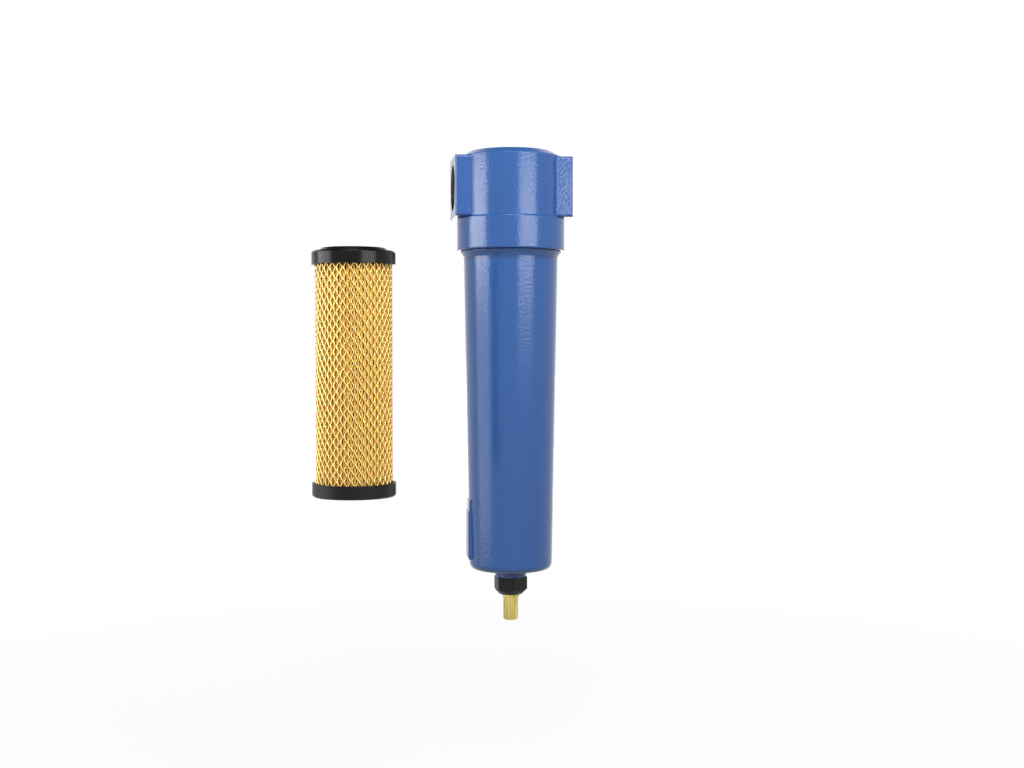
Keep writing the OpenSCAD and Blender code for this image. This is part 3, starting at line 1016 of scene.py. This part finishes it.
@dataclass
class PaperPleats:
    """Pleated paper behind the sleeve, one fold behind every column of openings."""

    folds: int = 64
    ridge_r: float = 34.2 * MM
    valley_r: float = 24.9 * MM
    fold_half: float = 1.2 * MM
    bow_points: int = 7
    shoulder_up: float = 1.2 * MM
    shoulder_gap: float = 0.55 * MM
    valley_gap: float = 0.25 * MM
    paper_t: float = 0.45 * MM
    levels: int = 18
    wander: float = 0.22 * MM
    wave_turns: Span = (0.6, 1.6)
    wave_start: Span = (0.0, 6.28)
    seed: int = 7

    def outline(self) -> List[Span]:
        """One fold and one valley.

        Returns:
            Distance from the axis and sideways distance of each point.
        """
        tip = self.ridge_r - self.fold_half
        bow = [math.pi * (k / (self.bow_points - 1) - 0.5) for k in range(self.bow_points)]
        fold = [(tip + self.fold_half * math.cos(a), self.fold_half * math.sin(a)) for a in bow]
        side = math.pi * self.valley_r / self.folds
        shoulder = (self.valley_r + self.shoulder_up, side - self.shoulder_gap)
        return fold + [shoulder, (self.valley_r, side - self.valley_gap)]

    def build(self) -> bpy.types.Object:
        """Folds the paper round the element.

        Returns:
            The pleated paper.
        """
        low, high, middle = box_of("pleated_media")
        chance = random.Random(self.seed)
        outline = self.outline()
        loop = [(r, -side) for r, side in outline[: self.bow_points - 1 : -1]] + outline
        spans = (self.wave_turns, self.wave_start)
        waves = [[chance.uniform(*span) for span in spans] for _ in range(self.folds)]
        points: List[Point] = []
        for level in range(self.levels + 1):
            share = level / self.levels
            z = low.z + share * (high.z - low.z)
            for fold, (turns, start) in enumerate(waves):
                sway = self.wander * math.sin(TURN * turns * share + start)
                base = TURN * fold / self.folds
                for r, side in loop:
                    lift = max(0.0, (r - self.valley_r) / (self.ridge_r - self.valley_r))
                    angle = base + math.atan2(side + sway * lift, r)
                    reach = math.hypot(r, side)
                    across, along = reach * math.cos(angle), reach * math.sin(angle)
                    points.append((middle.x + across, middle.y + along, z))
        ring = len(loop) * self.folds
        faces: List[List[int]] = []
        for level in range(self.levels):
            below, above = level * ring, (level + 1) * ring
            for k in range(ring):
                after = (k + 1) % ring
                faces.append([below + k, below + after, above + after, above + k])
        piece = new_piece("paper_pleats", points, faces, "element")
        paper = piece.modifiers.new("paper", "SOLIDIFY")
        paper.thickness, paper.offset = self.paper_t, -1.0
        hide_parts("pleated_media")
        return piece


@dataclass
class FilterElement:
    """Filter element that stands beside the housing."""

    gold: Finish = GoldMesh("gold_mesh")
    top_black: Finish = MouldedPlastic(
        "gloss_cap", (0.002, 0.002, 0.003), (0.004, 0.004, 0.005), 0.14, 0.008 * MM, ior=1.29
    )
    foot_black: Finish = MouldedPlastic(
        "satin_cap", (0.003, 0.003, 0.004), (0.008, 0.008, 0.009), 0.34, ior=1.32
    )
    core: Finish = RolledSteel("core_steel")
    bond: Finish = BondResin("bonding_resin")
    seal: Finish = SealRubber("seal_rubber")

    def dress(self) -> None:
        """Builds sleeve and pleats and finishes every piece."""
        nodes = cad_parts
        middle = box_of("pleated_media")[2]
        paper = FilterPaper("filter_paper", axis=(middle.x, middle.y))
        self.gold.dress(ExpandedSleeve().build())
        paper.dress(PaperPleats().build())
        self.top_black.dress(nodes["element_top_cap"])
        self.foot_black.dress(nodes["element_bottom_cap"])
        self.core.dress(nodes["inner_core"])
        self.bond.dress(nodes["top_bond"], nodes["bottom_bond"])
        self.seal.dress(nodes["element_o_ring"])


class Reach(Enum):
    """What a lamp works on."""

    ALL = "light and shine"
    SHINE = "shine alone"
    LIGHT = "light alone"


@dataclass
class Softbox:
    """One soft lamp: degrees from the camera's side, metres from the axis, height, size and brightness."""

    name: str
    swing: float
    reach: float
    height: float
    width: float
    tall: float
    glow: float
    works_on: Reach = Reach.ALL


@dataclass
class Studio:
    """Floor, light and camera."""

    axis: Vector
    tip_z: float
    floor_gap: float = 180 * MM
    floor_half: float = 9.0
    floor_lit: Point = (0.12, 0.12, 0.12)
    floor_seen: Point = (0.9, 0.9, 0.9)
    floor_glow: Span = (0.88, 1.0)
    floor_glow_at: Span = (0.3, 1.3)
    ambient: float = 0.22
    ceiling_at: Span = (0.45, 0.7)
    ceiling_loss: float = 0.85
    swing: float = math.radians(-7.6)
    reach: float = 1.438
    eye_z: float = -0.1691
    aim_z: float = -0.2100
    aim_right: float = 1.4 * MM
    focal_px: float = 1330.0
    image_px: int = 1024
    sensor_mm: float = 36.0
    boxes: Tuple[Softbox, ...] = (
        Softbox("left_box", -74.0, 1.2, 0.087, 0.86, 0.31, 6.7, Reach.SHINE),
        Softbox("left_middle_box", -74.0, 1.2, -0.128, 0.86, 0.12, 1.6, Reach.SHINE),
        Softbox("left_low_box", -74.0, 1.2, -0.394, 0.86, 0.41, 1.6, Reach.SHINE),
        Softbox("right_box", 37.5, 1.25, 0.087, 0.86, 0.31, 5.4),
        Softbox("right_middle_box", 37.5, 1.25, -0.138, 0.86, 0.14, 1.4),
        Softbox("top_box", 0.0, 0.35, 1.3, 1.2, 0.6, 1.6),
        Softbox("left_fill", -74.0, 1.2, -0.05, 0.86, 0.8, 3.4, Reach.LIGHT),
        Softbox("front_box", 8.0, 1.15, 0.85, 0.9, 0.5, 12.0),
        Softbox("back_box", 165.0, 1.3, 0.85, 0.9, 0.5, 13.0, Reach.LIGHT),
        Softbox("back_shine_box", 180.0, 1.2, -0.34, 0.5, 0.28, 3.0, Reach.SHINE),
    )
    lamp_aim_top: float = 0.6

    def around(self, swing: float, reach: float, z: float) -> Vector:
        """Point at a swing from the camera's side of the housing."""
        angle = self.swing + swing
        return Vector((self.axis.x + reach * math.sin(angle), self.axis.y - reach * math.cos(angle), z))

    @staticmethod
    def seen(shader: Shader) -> Sock:
        """Tells what is looked at from what only lights the room.

        Args:
            shader: the nodes that ask.
        Returns:
            1 for what the camera, a mirror or glass sees, 0 for light that falls on things.
        """
        path = shader.node("ShaderNodeLightPath").socket.node.outputs
        names = ("Is Camera Ray", "Is Glossy Ray", "Is Transmission Ray")
        direct, mirrored, through = (Sock(shader, path[name]) for name in names)
        return direct.most(mirrored).most(through)

    def floor(self) -> None:
        """Lays the pale floor, which keeps its shadow."""
        half, floor_z = self.floor_half, self.tip_z - self.floor_gap
        corners = ((-half, -half), (half, -half), (half, half), (-half, half))
        mesh = bpy.data.meshes.new("floor")
        mesh.from_pydata([(x, y, floor_z) for x, y in corners], [], [[0, 1, 2, 3]])
        piece = bpy.data.objects.new("floor", mesh)
        bpy.context.scene.collection.objects.link(piece)
        material = bpy.data.materials.new("pale_floor")
        material.use_nodes = True
        shader = Shader(material.node_tree)
        seen = self.seen(shader)
        x, y, _ = shader.split(shader.place())
        away = ((x - self.axis.x) ** 2.0 + (y - self.axis.y) ** 2.0) ** 0.5
        fold_shaded_tone = shader.mix(seen, self.floor_lit, self.floor_seen)
        lit = shader.node("ShaderNodeBsdfDiffuse", inputs={"Color": fold_shaded_tone})
        glow = shader.node("ShaderNodeEmission", inputs={"Color": WHITE, "Strength": 1.0})
        share = seen * between(away.rise(*self.floor_glow_at), *self.floor_glow)
        both = shader.node("ShaderNodeMixShader", inputs={0: share, 1: lit, 2: glow})
        shader.node("ShaderNodeOutputMaterial", inputs={"Surface": both})
        mesh.materials.append(material)

    def world(self) -> None:
        """Fills the room with plain white light under a darker ceiling."""
        room = bpy.data.worlds.new("studio")
        bpy.context.scene.world = room
        room.use_nodes = True
        shader = Shader(room.node_tree)
        *_, up = shader.split(shader.node("ShaderNodeTexCoord", output="Generated"))
        ceiling = 1 - self.ceiling_loss * up.rise(*self.ceiling_at)
        strength = between(self.seen(shader), self.ambient, 1.0) * ceiling
        back = shader.node("ShaderNodeBackground", inputs={"Color": WHITE, "Strength": strength})
        shader.node("ShaderNodeOutputWorld", inputs={"Surface": back})

    def lamps(self) -> None:
        """Hangs the soft lamps."""
        for box in self.boxes:
            target = Vector((self.axis.x, self.axis.y, min(box.height, self.lamp_aim_top)))
            light = bpy.data.lights.new(box.name, "AREA")
            light.shape, light.size, light.size_y = "RECTANGLE", box.width, box.tall
            light.energy = math.pi * box.glow * box.width * box.tall
            lamp = bpy.data.objects.new(box.name, light)
            lamp.location = self.around(math.radians(box.swing), box.reach, box.height)
            lamp.rotation_euler = (target - lamp.location).to_track_quat("-Z", "Y").to_euler()
            lamp.visible_diffuse = box.works_on is not Reach.SHINE
            lamp.visible_glossy = box.works_on is not Reach.LIGHT
            bpy.context.scene.collection.objects.link(lamp)
            LOG.info("%s hung: %s", box.name, box.works_on.value)

    def camera(self) -> None:
        """Sets the camera at the photograph's angle."""
        data = bpy.data.cameras.new("camera")
        data.sensor_width = self.sensor_mm
        data.lens = self.sensor_mm * self.focal_px / self.image_px
        eye = bpy.data.objects.new("camera", data)
        eye.location = self.around(0.0, self.reach, self.eye_z)
        right = Vector((math.cos(self.swing), math.sin(self.swing), 0.0))
        aim = Vector((self.axis.x, self.axis.y, self.aim_z)) + self.aim_right * right
        eye.rotation_euler = (aim - eye.location).to_track_quat("-Z", "Y").to_euler()
        bpy.context.scene.collection.objects.link(eye)
        bpy.context.scene.camera = eye

    def build(self) -> None:
        """Sets the studio up."""
        bpy.context.scene.view_settings.view_transform = "Standard"
        self.floor()
        self.world()
        self.lamps()
        self.camera()


def main() -> None:
    """Builds and dresses the filter, then the studio round it."""
    logging.basicConfig(level=logging.INFO, format="%(name)s: %(message)s")
    HeadCasting().dress()
    ScrewedBowl().dress()
    FloatDrain().dress()
    FilterElement().dress()
    Studio(box_of("bowl_o_ring")[2], box_of("drain_outlet")[0].z).build()


if __name__ == "__main__":
    main()
